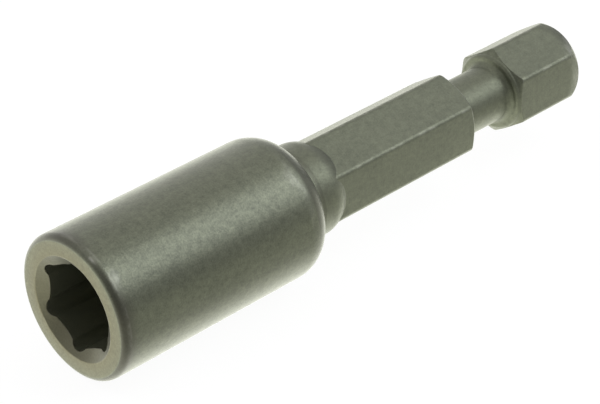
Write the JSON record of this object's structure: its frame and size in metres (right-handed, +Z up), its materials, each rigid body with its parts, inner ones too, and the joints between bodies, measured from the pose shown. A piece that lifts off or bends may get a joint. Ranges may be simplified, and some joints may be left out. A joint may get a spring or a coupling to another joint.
{
  "type": "nut setter",
  "caption": "Magnetic nut setter: a round steel socket with a countersunk hex mouth on a quarter-inch hex drive shank with a ball groove, for turning nuts and hex screws.",
  "frame": {"origin": "on the surface that the barrel lies on, under the middle of the tool's length", "axes": "+X along the tool from the socket's mouth to the shank's end, +Z up"},
  "size_m": [0.05, 0.011, 0.0111],
  "materials": {
    "phosphated_steel": "grey-olive satin phosphate over turned steel",
    "nickel_plate": "satin nickel plate",
    "plain_brass": "plain turned brass",
    "spring_steel": "dark oiled spring steel"
  },
  "bodies": {
    "root": {"socket_barrel": "phosphated_steel", "drive_shank": "phosphated_steel", "magnet": "nickel_plate", "magnet_bush": "plain_brass", "retaining_ring": "spring_steel"}
  },
  "joints": []
}
